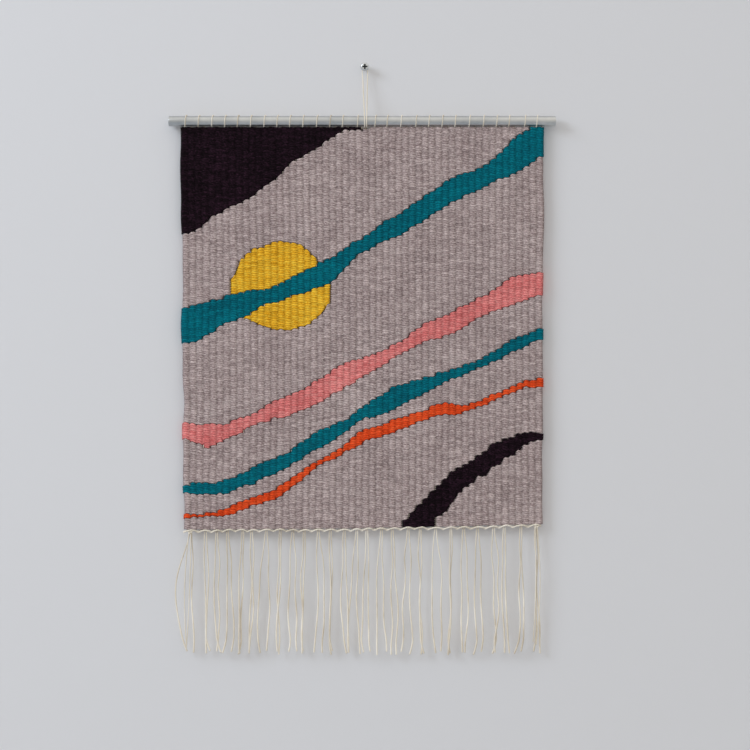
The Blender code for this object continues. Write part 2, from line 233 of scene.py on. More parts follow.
def sweep(path, radius, section, lay, up):
    """Carry a closed section along a path, turning it once in every `lay`.

    A point is path + radius * section[j] * (side cos a + out sin a), where a = 2 pi
    (j / count + distance / lay), side = forward x up and out = side x forward. Steps over
    HIDDEN_STEP, inside the cloth, don't turn it. Gives points, quads, UVs and end caps.
    """
    forward = unit(np.gradient(path, axis=0))
    side = unit(np.cross(forward, up))
    out = np.cross(side, forward)
    along = distances(path)
    step = np.diff(along, prepend=0)
    turned = np.cumsum(np.where(step > HIDDEN_STEP, 0, step)) / lay
    count = len(section)
    angle = 2 * np.pi * (np.arange(count)[None, :] / count + turned[:, None])
    reach = np.broadcast_to(np.asarray(radius, float), len(path))[:, None] * section[None, :]
    points = (path[:, None] + (reach * np.cos(angle))[..., None] * side[:, None]
              + (reach * np.sin(angle))[..., None] * out[:, None])
    ring, spot, quads = ring_quads(len(path), count, CORNERS)
    uvs = np.stack([np.stack([along[ring + i], (spot + j) / count], 1) for i, j in CORNERS], 1)
    last = (len(path) - 1) * count
    caps = [list(range(count)), list(range(last + count - 1, last - 1, -1))]
    return points.reshape(-1, 3), quads, uvs, caps


def plies(count, points_each, groove):
    """Radii round a twisted cord: one at each ply's crest, and less in the grooves between."""
    place = np.arange(count * points_each) / points_each
    return 1 - groove * (1 - np.abs(np.sin(np.pi * (place + 0.5 / points_each))))


def add_cord(name, runs, material, body, node):
    """One cotton piece out of several swept runs, with a UV map that follows each of them."""
    points, faces, uvs, start = [], [], [], 0
    for run_points, quads, run_uvs, caps in runs:
        points.append(run_points)
        faces += (quads + start).tolist()
        faces += [[corner + start for corner in cap] for cap in caps]
        uvs += [run_uvs.reshape(-1, 2), np.zeros((sum(len(cap) for cap in caps), 2))]
        start += len(run_points)
    piece = add_piece(name, np.vstack(points), faces, material, body, "cotton_cord", node)
    layer = piece.data.uv_layers.new(name="cord")
    layer.data.foreach_set("uv", np.vstack(uvs).astype(np.float32).ravel())
    return piece


HIDDEN_STEP = 5 * MM
CORNERS = ((0, 0), (1, 0), (1, 1), (0, 1))
TWINE_SECTION = plies(3, 3, 0.30)
CORD_SECTION = plies(3, 4, 0.28)
print("twine section:", np.round(TWINE_SECTION, 2))

# %% [markdown]
# ## Hanging cord
# One cotton cord carries everything. Its two ends are knotted behind the top of the cloth. From
# there it passes under the rod, up its front, and runs straight to the screw and back. The
# weight pulls it taut, so a cloth simulation would have nothing to do.

# %% Hanging cord
CORD_DIAMETER = 1.3 * MM
CORD_RADIUS = CORD_DIAMETER / 2
CORD_LAY = 5 * MM
GAP = 0.3 * MM
CORD_GAP = 0.5 * MM
HITCH_X = 0.8 * MM
SHANK_RADIUS = 1.75 * MM
CORD_ON_SCREW_Y = -3.5 * MM
KNOT_PLACE = np.array(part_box("hanging_knot")).mean(axis=0)
KNOT_RADIUS = 2.0 * MM


def hanging_route():
    """From the knot under the rod, up its front and to the screw, over it, and back again.

    One half is laid out at X > 0 and mirrored. All of it leans to HITCH_X at the rod.
    """
    wrap = ROD_RADIUS + CORD_GAP + CORD_RADIUS
    spread = CORD_RADIUS + GAP
    over = SHANK_RADIUS + GAP + CORD_RADIUS
    rod = np.array([spread, ROD_Y, ROD_Z])
    knot = KNOT_PLACE * [0, 1, 1] + [spread / 2, -CORD_GAP, KNOT_RADIUS + GAP]
    angle = np.radians([0, 30, 60, 90])
    round_rod = rod - wrap * np.stack([0 * angle, np.sin(angle), np.cos(angle)], axis=1)
    strand_end = np.array([over, CORD_ON_SCREW_Y, 0])
    share = np.array([0.1, 0.3, 0.5, 0.7, 0.9])[:, None]
    strand = round_rod[-1] + (strand_end - round_rod[-1]) * share
    half = np.vstack([knot, rod + [0, 0.40 * wrap, -0.95 * wrap], round_rod, strand, strand_end,
                      [0.71 * over, CORD_ON_SCREW_Y, 0.71 * over]])
    points = np.vstack([half, [0, CORD_ON_SCREW_Y, over], half[::-1] * [-1, 1, 1]])
    route = smooth_route(points, 0.5 * MM)
    route[:, 0] += HITCH_X * np.clip(route[:, 2] / ROD_Z, 0, 1)
    return route


route = hanging_route()
hanging_cord = add_cord(
    "cotton_hanging_cord",
    [sweep(route, CORD_RADIUS, CORD_SECTION, CORD_LAY, unit(np.array([[0.05, 1.0, 0.3]])))],
    CORD, "hanger", "hanging_cord")

# %% [markdown]
# ## Knot
# The two ends are joined in an overhand knot, pulled down small. A trefoil is the same knot with
# its ends joined, so its curve makes a believable one. Two short cut ends stick out of it.

# %% Knot
def trefoil(count, size):
    """x = sin t + 2 sin 2t, y = cos t - 2 cos 2t, z = -sin 3t, scaled so its reach is size."""
    t = np.linspace(0.12, 2 * np.pi - 0.12, count)
    curve = np.stack([np.sin(t) + 2 * np.sin(2 * t), -1.1 * np.sin(3 * t),
                      np.cos(t) - 2 * np.cos(2 * t)], axis=1)
    return curve * size / 3


def cut_end(side):
    """A short end that leaves the knot downwards and curls to one side: x grows as z squared."""
    fall = np.linspace(0, 1, 15)
    return KNOT_PLACE + np.stack([side * (0.5 + 2.2 * fall ** 2) * MM, 0.5 * MM * fall,
                                  (-0.6 - 7.5 * fall) * MM], axis=1)


knot_curve = KNOT_PLACE + trefoil(97, 1.75 * MM)
knot_up = unit(np.array([[0.0, 1.0, 0.02]]))
knot_runs = [sweep(run, 0.62 * MM, CORD_SECTION, CORD_LAY, knot_up)
             for run in (knot_curve, cut_end(-1), cut_end(1))]
knot = add_cord("cotton_cord_knot", knot_runs, CORD, "hanger", "hanging_knot")
print("knot of", len(knot.data.vertices), "points")

# %% [markdown]
# ## Warp cords and fringe
# The warp was one long twine, wound over the rod. So a pair of warps is one hairpin: up through
# the cloth, over the rod, and down again. At the foot the tails hang free as the fringe, still in
# the waves that they had on the loom: x = start + lean q^1.5 + bow sin(pi q^1.2)
# + ripple sin(2 pi w q + p), with q from hem to end, and a last flick where they were cut.

# %% Warp hairpins
PAIRS = RIBS // 2
HEM_Z = BOTTOM - 1.2 * MM
# Where each pair leaves the hem, in ribs from the left selvedge
PAIR_FOOT = np.array([1.3, 3.5, 5.2, 6.8, 9.1, 10.4, 12.6, 14.7, 16.6, 18.3, 20.4, 22.2, 24.3, 26.2,
                      27.7, 29.9, 31.5, 33.9, 35.7, 38.0, 40.3, 42.2, 44.3, 46.7, 48.3, 50.8,
                      53.0])
# How far each loop sits from its rib, along the rod, in millimetres
LOOP_SHIFT = MM * np.array([-0.8, -1.0, -0.8, -1.2, -1.8, -2.0, -1.9, -2.4, -2.9, -3.1, -2.7, -2.8,
                            -3.5, -1.6, 2.2, 0.8, 1.4, 2.9, 2.5, 2.6, 2.1, 3.0, 3.7, 3.5, 2.6,
                            5.0, 3.6])
LOOP_PITCH = np.full(PAIRS, RIB)
LOOP_PITCH[13] = 4.2 * MM
TAIL_STEP = 0.75 * MM
TWINE_LAY = 4.5 * MM
SIDE_UP = np.array([[1.0, 0.0, 0.0]])
# The twine opens a little where it is free: how many times its radius at the hem and the end
HEM_FLARE = 1.08
END_FLARE = 1.55
LEG_Y = ROD_Y
chance = np.random.default_rng(27)
lean = chance.normal(0, 3.2, RIBS) * MM
bow = chance.normal(0, 1.5, RIBS) * MM
ripple = chance.uniform(0.3, 1.0, RIBS) * MM
waves = chance.uniform(1.2, 2.3, RIBS)
start_phase = chance.uniform(0, 2 * np.pi, RIBS)
depth_drift = chance.uniform(-1.0, 1.0, RIBS) * 1.6 * MM
cut_short = chance.uniform(-1.5, 2.5, RIBS) * MM
end_kick = chance.normal(0, 1.8, RIBS) * MM
# The first tail bows out past the selvedge, and its neighbours at both edges hang closer
bow[0], lean[0] = -11.5 * MM, -1.0 * MM
bow[1], lean[1] = -1.5 * MM, 0.5 * MM


def hem_rise(across):
    """The beaten edge creeps up to the right: 0.4 + 5.4 s^2 mm, where s runs across the cloth."""
    return (0.4 + 5.4 * across ** 2) * MM


def hem_height(x):
    """How high the hem is at x."""
    return HEM_Z + hem_rise(np.clip((x - LEFT) / (RIGHT - LEFT), 0, 1))


def tail_path(leg):
    """One fringe tail, from the hem down to its cut end. A pair spreads to 2.8 mm + 1.5 mm."""
    foot = LEFT + PAIR_FOOT[leg // 2] * RIB + (0.75 if leg % 2 else -0.75) * MM
    top = hem_height(foot)
    length = top - (FRINGE_END + cut_short[leg])
    q = np.linspace(0, 1, round(length / TAIL_STEP))
    turn = 2 * np.pi * waves[leg] * q + start_phase[leg]
    spread = (1.4 if leg % 2 else -1.4) * MM * np.sin(np.pi * np.minimum(q * 2.2, 1) / 2)
    kick = end_kick[leg] * np.clip((q - 0.88) / 0.12, 0, 1) ** 1.5
    x = (foot + lean[leg] * q ** 1.5 + bow[leg] * np.sin(np.pi * q ** 1.2) + spread + kick
         + ripple[leg] * (np.sin(turn) - np.sin(start_phase[leg])) * np.minimum(4 * q, 1))
    y = LEG_Y + depth_drift[leg] * np.sin(0.5 * np.pi * q)
    return np.stack([x, y, top - length * q], axis=1)


def loop_path(pair):
    """Up in front of the rod, over it and down behind, one rib along, most of it behind.

    x = left + pitch (a / 2 pi - 0.11 (1 - cos a)), so the loop stands upright in front.
    """
    left = LEFT + (2 * pair + 0.5) * RIB + LOOP_SHIFT[pair]
    angle = np.radians(np.arange(0, 361, 9))
    wrap = ROD_RADIUS + 0.15 * MM + WARP_RADIUS
    share = angle / (2 * np.pi) - 0.11 * (1 - np.cos(angle))
    return np.stack([left + LOOP_PITCH[pair] * share,
                     ROD_Y - wrap * np.sin(angle), ROD_Z - wrap * np.cos(angle)], axis=1)


def hairpin(pair):
    """Both tails of a pair, joined through the cloth and round the rod."""
    up, down = tail_path(2 * pair)[::-1], tail_path(2 * pair + 1)
    loop = loop_path(pair)
    inside = 10 * MM
    path = np.vstack([up, up[-1] + [0, 0, inside], [loop[0, 0], LEG_Y, TOP - inside], loop,
                      [loop[-1, 0], LEG_Y, TOP - inside], down[0] + [0, 0, inside], down])
    flare = np.ones(len(path))
    flare[:len(up)] = np.linspace(END_FLARE, HEM_FLARE, len(up))
    flare[-len(down):] = np.linspace(HEM_FLARE, END_FLARE, len(down))
    return sweep(path, WARP_RADIUS * flare, TWINE_SECTION, TWINE_LAY, SIDE_UP)


for pair in range(PAIRS):
    number = f"{pair + 1:02d}"
    warp = add_cord(f"cotton_warp_{number}", [hairpin(pair)], TWINE, "weaving", f"warp_{number}")
print(PAIRS, "hairpins, the last of", len(warp.data.polygons), "faces")

# %% [markdown]
# ## Twined hem
# Below the last row of wool a cord is twined across. Its two strands swap front and back at
# every gap between two pairs of warps, like two flat helices half a turn apart. At each selvedge
# they end in a small knot and hang down with the fringe.

# %% Twined hem
HEM_RADIUS = 0.85 * MM


def hem_strand(phase):
    """y = -1.55 sin a and z = 2 (|sin a| - 0.6) - 0.35 cos a mm: an arch over each pair.

    The angle a goes half a turn from one gap between the pairs' feet to the next.
    """
    gaps = LEFT + RIB * np.concatenate([[0.2], (PAIR_FOOT[1:] + PAIR_FOOT[:-1]) / 2, [53.9]])
    x = np.arange(gaps[0], gaps[-1], 0.55 * MM)
    turn = np.interp(x, gaps, np.arange(len(gaps))) * np.pi + phase
    wander = 0.35 * MM * np.sin(x / (23 * MM)) + 0.25 * MM * np.sin(x / (7 * MM) + 1.0)
    y = LEG_Y - 1.55 * MM * np.sin(turn)
    z = (hem_height(x) + wander - 0.35 * MM * np.cos(turn)
         + 2.0 * MM * (np.abs(np.sin(turn)) - 0.6))
    return np.stack([x, y, z], axis=1)


def end_tail(x, sway, bend, length):
    """An end of the hem cord that hangs with the fringe."""
    q = np.linspace(0, 1, round(length / TAIL_STEP))
    return np.stack([x + sway * q + bend * np.sin(np.pi * q), LEG_Y - 0.8 * MM + 0 * q,
                     hem_height(x) - 1.5 * MM - length * q], axis=1)


HEM_UP = np.array([[0.0, 0.25, 1.0]])
hem_runs = [sweep(hem_strand(phase), HEM_RADIUS, CORD_SECTION, 7 * MM, HEM_UP)
            for phase in (0, np.pi)]
hem_left, hem_right = LEFT + 1.2 * RIB, LEFT + 53.1 * RIB
for x, sway, bend, length in ((hem_left - 1.2 * MM, -2.5 * MM, -3.0 * MM, 112 * MM),
                              (hem_left + 0.8 * MM, -4.5 * MM, 0.8 * MM, 114 * MM),
                              (hem_right - 1.0 * MM, -2.0 * MM, 1.6 * MM, 112 * MM),
                              (hem_right + 1.0 * MM, -1.0 * MM, 3.2 * MM, 115 * MM)):
    hem_runs.append(sweep(end_tail(x, sway, bend, length), WARP_RADIUS, TWINE_SECTION, TWINE_LAY,
                          SIDE_UP))
for x in (hem_left, hem_right):
    centre = np.array([x, LEG_Y - 0.6 * MM, hem_height(x) - 1.2 * MM])
    hem_runs.append(sweep(centre + trefoil(73, 1.9 * MM), 0.75 * MM, CORD_SECTION, CORD_LAY,
                          knot_up))
hem = add_cord("cotton_twined_hem", hem_runs, CORD, "weaving", "hem_twining")
print("hem of", len(hem.data.polygons), "faces")

# %% [markdown]
# ## The weaver's cartoon
# A tapestry is woven from a cartoon, a full-size drawing behind the warp that says where each
# colour stops. Here it is a set of lines. A point is a number of ribs from the left selvedge and
# a percentage of the way down. Each area has an upper and a lower line, and where another area
# cuts into it, that area's line is used between the ribs given.

# %% Lines and areas of the cartoon
# Each point is ribs, then per cent down
CARTOON = """
top: 0 -1,54 -1
bottom: 0 101,54 101
plum: 0 26,2.1 25.8,4.1 22.4,6 20.2,9.5 18,11.4 15.7,13.2 13.7,14.3 11.9,16.1 8.5,18 7,20.5 4.7
,21.5 3.2,22.9 1.9,24.2 0.9,25.3 0.7,26.5 0.2,27 0
teal_over: 0 44.9,6.5 41.6,12.6 39.6,14.7 38.1,16.6 36.7,18.5 35.1,20.6 33.4,21.8 32.6,23.8 30.2
,25.9 27.9,27.9 26.4,29.2 24.6,30.4 23,32.4 21.2,34.4 18.8,37.4 15.5,38.7 14.3,40.2 12.5,41.7 11.3
,44.4 10,45.6 8.6,46.6 7.6,47.9 5.6,48.9 4,50.6 1.4,52 0.2
teal_under: 0 53.8,1.4 53.4,2.5 52.3,4 51.2,5.5 49.1,8.5 47.4,12 44,22 38.7,26.5 31.1,32 26.9,38 20.7
,47.5 12.5,51 9.8,54 6.5
sun_over: 7 39.5,7.8 34.6,8.6 32.5,9.5 31.2,10.5 30.1,12 29.1,13.4 28.3,16.4 28.2,17.6 29.2,18.5 30.3
,19.4 31.6,20.6 33.2,21 33.8
sun_under: 9 47.6,10.5 48.2,12 49.3,15 50.3,18 49.2,20 46.8,21 45.2,22 42
pink_over: 0 73.7,6 73.7,10 71.2,14.5 67,18.5 64.3,23.5 58.8,28 56.6,32.5 53.3,35.5 49.6,45.5 41.4
,49.5 36.9,54 35.8
pink_under: 0 77.4,3.5 79.4,7 77.4,10.5 73.6,15.5 71.4,21 67.9,28.5 60,36.5 53.3,41 50.9,44 47.4
,54 41.2
stripe_over: 0 88.7,4 88.6,8 86.5,12.5 82.7,15 81.6,20 75.2,24.5 72.3,29 66.8,33 63.3,37.5 61.5
,44 57.9,50.5 51.7,54 49.5
stripe_under: 0 91.1,6 91.2,11 88.1,15.5 84.5,21 79,26.5 72.8,31 70.6,33.1 69.1,39.5 62.8,43.5 60.6
,54 52.2
orange_over: 0 96.3,4 96,13.5 90.4,16.5 86.7,21.5 81.8,26.5 75.8,33.1 71.8,36.5 70.0,39.3 68.4
,41.9 68.7,43.4 68.4,53 62.1,54 61.8
orange_under: 0 97.2,6.5 96.4,14.5 91.9,20 84.5,27.5 77.8,29.7 76.8,32.2 75.2,35.7 72.9,37.9 71.7
,41.7 71.3,43.4 70,46 68.6,51.5 64.4,54 64.3
stroke_over: 33 98.8,33.6 97.7,34.4 96.4,35.2 94.4,36 93.2,38 90.5,39.3 88.3,41.2 85,43.5 82.5
,45.3 80.3,46.3 79.2,48.9 77.4,50.1 76.6,51.6 76.3,54 76.2
stroke_under: 38 99.3,38.7 97,39.7 95.5,40.7 93.9,41.6 91.2,42.4 90,44.9 86.9,46.9 84.4,49.1 81.9
,51.1 79.7,52.9 77.8,54 77.2
"""
LINES = {}
for line in CARTOON.strip().replace("\n,", ",").split("\n"):
    name, points = line.split(":")
    LINES[name] = np.array([point.split() for point in points.split(",")], float)
# First rib, last rib, upper line, lower line, then (first, last, line, what replaces it there)
AREAS = {
    "plum_corner": (0, 27, "top", "plum"),
    "grey_upper": (0, 52, "top", "teal_over", (0, 27, "top", "plum"),
                   (7, 21, "teal_over", "sun_over")),
    "sun_upper": (7, 21, "sun_over", "teal_over"),
    "teal_upper": (0, 54, "top", "teal_under", (0, 52, "top", "teal_over")),
    "sun_lower": (9, 22, "teal_under", "sun_under"),
    "grey_middle": (0, 54, "teal_under", "pink_over", (9, 22, "teal_under", "sun_under")),
    "pink_stripe": (0, 54, "pink_over", "pink_under"),
    "grey_lower": (0, 54, "pink_under", "stripe_over"),
    "teal_lower": (0, 54, "stripe_over", "stripe_under"),
    "grey_narrow": (0, 54, "stripe_under", "orange_over"),
    "orange_stripe": (0, 54, "orange_over", "orange_under"),
    "grey_bottom": (0, 54, "orange_under", "bottom", (33, 54, "bottom", "stroke_over")),
    "plum_stroke": (33, 54, "stroke_over", "bottom", (38, 54, "bottom", "stroke_under")),
    "grey_corner": (38, 54, "stroke_under", "bottom"),
}
print(len(LINES), "lines and", len(AREAS), "areas")

# %% [markdown]
# ## Stitches
# In a weft-faced weave only the wool shows. It goes over one warp and under the next, so each
# rib is a column of small oval beads, and the beads of the next rib sit half a step lower, like
# bricks. A colour can only change between beads, so a sloping line comes out as a row of little
# steps, and the cartoon is read once for every bead.

# %% Give every bead an area
PICKS = 172
STITCH = (TOP - BOTTOM) / PICKS
ROWS_EACH = 4
COLUMNS_EACH = 5
ROWS = PICKS * ROWS_EACH
COLUMNS = RIBS * COLUMNS_EACH
rib_middle = np.arange(RIBS) + 0.5
edge_chance = np.random.default_rng(11)
step_chance = {name: 0.7 if name.startswith("stroke") else 0.35 for name in LINES}
heights = {name: (np.interp(rib_middle, *line.T)
                  + step_chance[name] * edge_chance.uniform(-1, 1, RIBS))
           for name, line in LINES.items()}


def area_beads(first, last, upper, lower, *cuts):
    """True for each (pick, rib) whose middle lies between the area's two lines."""
    limit = {upper: heights[upper].copy(), lower: heights[lower].copy()}
    for start, stop, replaced, line in cuts:
        here = (rib_middle > start) & (rib_middle < stop)
        limit[replaced][here] = heights[line][here]
    pick = np.arange(PICKS + 1)[:, None]
    middle = (pick + 0.5 - 0.5 * (np.arange(RIBS) % 2)) * 100 / PICKS
    inside = (rib_middle > first) & (rib_middle < last)
    return (middle >= limit[upper]) & (middle < limit[lower]) & inside


bead_area = np.full((PICKS + 1, RIBS), -1)
for number, lines in enumerate(AREAS.values()):
    bead_area[area_beads(*lines)] = number
print("beads:", bead_area.size, "without an area:", int((bead_area < 0).sum()))

# %% [markdown]
# ## Where the colours meet
# A weaver beats the wool down with a fork, and the beads slide until a sloping line runs
# smoothly, with a small scallop at each rib. So the grid is warped near every line: the steps
# move up or down on to it, and where it is too steep for that they lean over sideways.

# %% Warp the grid on to the lines
column = np.arange(COLUMNS + 1)
row = np.arange(ROWS + 1)[:, None]
rib_of = np.minimum(column // COLUMNS_EACH, RIBS - 1)
across_rib = (column - rib_of * COLUMNS_EACH) / COLUMNS_EACH
WARP_REACH = 14
WARP_LIMIT = 5.0
SCALLOP = 2.6
FOLLOW = 0.60
LEAN = 0.42


def step_rows(name):
    """The grid rows of a line's step on each side of every column. They differ between ribs."""
    odd = 0.5 * (np.arange(RIBS) % 2)
    picks = np.ceil(heights[name] * PICKS / 100 - 0.5 + odd) - odd
    rows = ROWS_EACH * picks
    here = rows[rib_of]
    before = rows[np.maximum((column - 1) // COLUMNS_EACH, 0)]
    first, last = LINES[name][[0, -1], 0]
    place = column / COLUMNS_EACH
    before = np.where(place <= first, here, before)
    here = np.where(place >= last, before, here)
    inside = (place >= first) & (place <= last)
    return before, here, inside


def line_warp():
    """How many rows and ribs each grid point moves so that steps lie on their lines.

    move = sum(w d) / sum(w) * falloff. d is a step's distance from its line, and
    w = 1 / (rows to the step + 0.3)^2.
    """
    total, weight, near = 0.0, 1e-9, 0.0
    scallop_size = np.random.default_rng(13).uniform(0.2, 1.5, RIBS)
    sideways = np.zeros((ROWS + 1, COLUMNS + 1))
    for name in LINES:
        if name in ("top", "bottom"):
            continue
        before, here, inside = step_rows(name)
        low, high = np.minimum(before, here), np.maximum(before, here)
        true_row = np.interp(column / COLUMNS_EACH, rib_middle, heights[name]) * PICKS / 100
        round_end = scallop_size[rib_of] * (np.sin(np.pi * across_rib) ** 0.7 - 0.5)
        true_row = true_row * ROWS_EACH - SCALLOP * round_end
        closest = np.clip(row, low, high)
        gap = np.abs(row - closest)
        follow = 0.3 if name.startswith("stroke") else FOLLOW
        move = np.clip(follow * (true_row - closest), -WARP_LIMIT, WARP_LIMIT)
        fall = np.clip(1 - gap / WARP_REACH, 0, 1) ** 1.5 * inside
        pull = inside / (gap + 0.3) ** 2
        total, weight = total + pull * move, weight + pull
        near = np.maximum(near, fall)
        steep = np.clip((high - low - 8) / 10, 0, 1)
        along = (closest - low) / np.maximum(high - low, 1)
        lean = LEAN * steep * np.sign(before - here) * (1 - 2 * along)
        lean = lean * np.clip(1 - gap / 6, 0, 1) * inside
        sideways = np.where(np.abs(lean) > np.abs(sideways), lean, sideways)
    edge = column[COLUMNS_EACH:-1:COLUMNS_EACH]
    for offset, share in ((1, 0.55), (2, 0.18)):
        sideways[:, edge + offset] += share * sideways[:, edge]
        sideways[:, edge - offset] += share * sideways[:, edge]
    return total / weight * near, sideways


row_move, rib_move = line_warp()
print("beads move up to", round(float(np.abs(row_move).max()) / ROWS_EACH, 2), "of their height")

# %% [markdown]
# ## The woven surface
# The whole cloth is one grid, five columns to a rib and four rows to a bead. How far a point
# stands out is the rib's arch times the bead's arch. The valley between two ribs snakes, because
# the dips of one meet the beads of the other. Nothing woven by hand is quite regular: beads
# differ, ribs wander, and the selvedges draw in and out.

# %% Grid of the cloth
def slow_noise(down, across, seed):
    """Random heights on a coarse grid, blended with 3 t^2 - 2 t^3, on the cloth's own grid."""
    coarse = np.random.default_rng(seed).uniform(-1, 1, (down + 2, across + 2))
    row = np.linspace(0, down, ROWS + 1)[:, None]
    column = np.linspace(0, across, COLUMNS + 1)[None, :]
    i, j = row.astype(int), column.astype(int)
    f, g = row - i, column - j
    f, g = f * f * (3 - 2 * f), g * g * (3 - 2 * g)
    return (coarse[i, j] * (1 - f) * (1 - g) + coarse[i + 1, j] * f * (1 - g)
            + coarse[i, j + 1] * (1 - f) * g + coarse[i + 1, j + 1] * f * g)


arch = np.sin(np.pi * across_rib) ** 0.7
down_picks = row / ROWS_EACH
down_share = down_picks / PICKS
across_share = (column / COLUMNS)[None, :]
BASE = 1.05 * MM
RISE = 1.00 * MM
HOLLOW_SHARE = 0.40
TOP_LIFT = 2.1 * MM
bead_chance = np.random.default_rng(5)
bead_size = bead_chance.normal(0, 1, (2, PICKS + 2, RIBS)).clip(-2, 2)
rib_height = 1 + 0.08 * bead_chance.uniform(-1, 1, RIBS)
bulge = slow_noise(5, 4, 1)
rib_wander = slow_noise(16, 27, 2)
row_wander = slow_noise(14, 9, 3)
row_jitter = slow_noise(110, RIBS * 2, 4)
middle_y = ROD_Y + 0.7 * MM * bulge * np.sin(np.pi * down_share)
slant = 0.16 + 0.16 * slow_noise(9, 6, 6) + 0.12 * across_share


def woven_side(side):
    """The points of one face of the cloth, and the painted shade at each. side is 0 front, 1 back.

    half thickness = BASE + RISE * arch * (share + (1 - share) |sin pi t|^0.6), where t counts
    beads, and x moves by -0.12 ribs * cos 2 pi (t - 0.5) * cos(pi s)^3. The top rows are
    packed up to the rod, except where the hanging cord passes.
    """
    beads = down_picks + 0.5 * ((rib_of + side) % 2)
    bead = np.floor(beads).astype(int)
    crown = np.abs(np.sin(np.pi * beads)) ** 0.6
    own = bead_size[side][bead, rib_of[None, :]]
    swell = arch * rib_height[rib_of] * (HOLLOW_SHARE + (1 - HOLLOW_SHARE) * crown)
    half = BASE + RISE * swell + 0.13 * MM * own * crown * arch
    inner = np.minimum(1, np.minimum(column, COLUMNS - column) / COLUMNS_EACH)
    snake = -0.12 * (0.6 + 0.4 * inner) * np.cos(2 * np.pi * (beads - 0.5))
    x = column / COLUMNS_EACH + snake * np.cos(np.pi * across_rib) ** 3
    x = LEFT + RIB * (x + rib_move) + 0.45 * MM * rib_wander
    x = x + 2.5 * MM * np.exp(-((across_share - 0.28) / 0.2) ** 2) * np.sin(np.pi * down_share)
    z = (TOP - STITCH * (down_picks + row_move / ROWS_EACH)
         + slant * MM * np.sin(2 * np.pi * across_rib)
         + 0.5 * MM * row_wander * np.sin(np.pi * down_share) ** 0.5
         + 0.42 * MM * row_jitter * arch)
    z = z + hem_rise(across_share) * down_share ** 12
    clear = np.clip((np.abs(x - HITCH_X) - 3.2 * MM) / (2 * MM), 0, 1)
    z = z + TOP_LIFT * clear * np.exp(-down_picks / 4)
    y = middle_y + (2 * side - 1) * half
    # Painted shade: darkest in the valleys between ribs and between beads, less on bigger beads
    valley = 1 - np.sin(np.pi * across_rib)
    painted_shade = np.clip(0.55 * (1 - crown) * (1 - valley) + 0.60 * valley - 0.12 * own, 0, 1)
    return np.stack([x, y, z], axis=2), painted_shade


def selvedge_pull():
    """How far x moves: at each edge a straight line plus slow waves, times nearness^6."""
    down = down_share
    waves = 0.45 * np.sin(2 * np.pi * (3.1 * down + 0.2)) + 0.3 * np.sin(2 * np.pi * 7.7 * down)
    left = -0.9 + 2.6 * down + waves
    right = 1.2 - 1.6 * down + 0.5 * np.sin(2 * np.pi * (2.6 * down + 0.6)) - 0.4 * waves
    return MM * left * (1 - across_share) ** 6 + MM * right * across_share ** 6


front, front_painted_shade = woven_side(0)
back, back_painted_shade = woven_side(1)
front[..., 0] += selvedge_pull()
back[..., 0] += selvedge_pull()
print("cloth grid", front.shape, "stitch", round(STITCH / MM, 2), "mm")

# %% [markdown]
# ## Wool
# The weft is a softly spun two-ply wool, dyed in the hank. Dye takes unevenly, so the colour
# drifts slowly over the cloth. Wool is matt, with a faint bloom of loose fibre at glancing
# angles, which is what sheen is for. The hollows between beads are darkened with painted
# shade, and so are the slits and corners where colours meet.

# %% Wool material
def spun_wool(tree, deep, middle, pale, streak=0.0):
    """Soft two-ply wool: matt, hairy, uneven dye, dashes from bead to bead.

    fleck is a number for each bead. The second attribute is painted shade, darkest in the
    hollows between beads and in slits and corners. Both come from the mesh.
    Tufts of fibre lie along the weft, 2.3 mm long and 0.85 mm thick, tilted with its twist.
    """
    fleck = add_node(tree, "Attribute", {"attribute_name": "fleck"}).outputs["Fac"]
    # Painted shade for the hollows between beads, slits and corners, read from the mesh
    painted_shade = add_node(tree, "Attribute", {"attribute_name": "painted_shade"}).outputs["Fac"]
    place = add_node(tree, "TexCoord").outputs["Object"]
    lying = add_node(tree, "Mapping", {"vector_type": "TEXTURE"}, Vector=place,
                     Scale=(2.3 * MM, 1.3 * MM, 0.85 * MM), Rotation=(0, math.radians(14), 0))
    fibre = add_node(tree, "TexNoise", Vector=lying, Scale=1.0, Detail=3.0, Roughness=0.7)
    hank = add_node(tree, "TexNoise", Vector=place, Scale=26.0, Detail=2.0, Roughness=0.5)
    drift = add_node(tree, "Math", {"operation": "MULTIPLY"}, i0=hank, i1=0.14 + streak)
    share = add_node(tree, "Math", MULTIPLY_ADD, i0=fleck, i1=0.12, i2=drift)
    tone = add_node(tree, "Math", MULTIPLY_ADD, i0=fibre, i1=1.15, i2=share)
    colour = add_node(tree, "ValToRGB", Fac=tone)
    centre = 0.695 + streak / 2
    spread = 0.18
    set_ramp(colour, (centre - spread, deep), (centre, middle), (centre + spread, pale))
    # Painted shade: the colour is scaled by 1 - 0.55 times that value
    shade = add_node(tree, "Math", MULTIPLY_ADD, i0=painted_shade, i1=-0.55, i2=1.0)
    mix = add_node(tree, "VectorMath", {"operation": "SCALE"}, i0=colour, Scale=shade)
    bump = add_node(tree, "Bump", Height=fibre, Strength=0.8, Distance=0.25 * MM)
    return add_node(tree, "BsdfPrincipled", Base_Color=mix, Roughness=0.95, Normal=bump,
                    Sheen_Weight=0.03, Sheen_Roughness=0.6, Specular_IOR_Level=0.05)


WOOLS = {wool: new_material(name, spun_wool, *look) for wool, name, *look in (
    ("plum", "plum_black_wool", "#080204", "#150910", "#321c2a"),
    ("grey", "heather_grey_wool", "#8b7978", "#b09e9c", "#d6c5c2"),
    ("teal", "teal_wool", "#005363", "#006878", "#017d8b", 0.1),
    ("sun", "ochre_wool", "#d29416", "#f1b52a", "#f7cf47"),
    ("pink", "rose_wool", "#c96462", "#e5817f", "#f7a19c", 0.1),
    ("orange", "rust_wool", "#cb3b11", "#ea4e21", "#f76636", 0.1))}
print("wools:", ", ".join(material.name for material in WOOLS.values()))
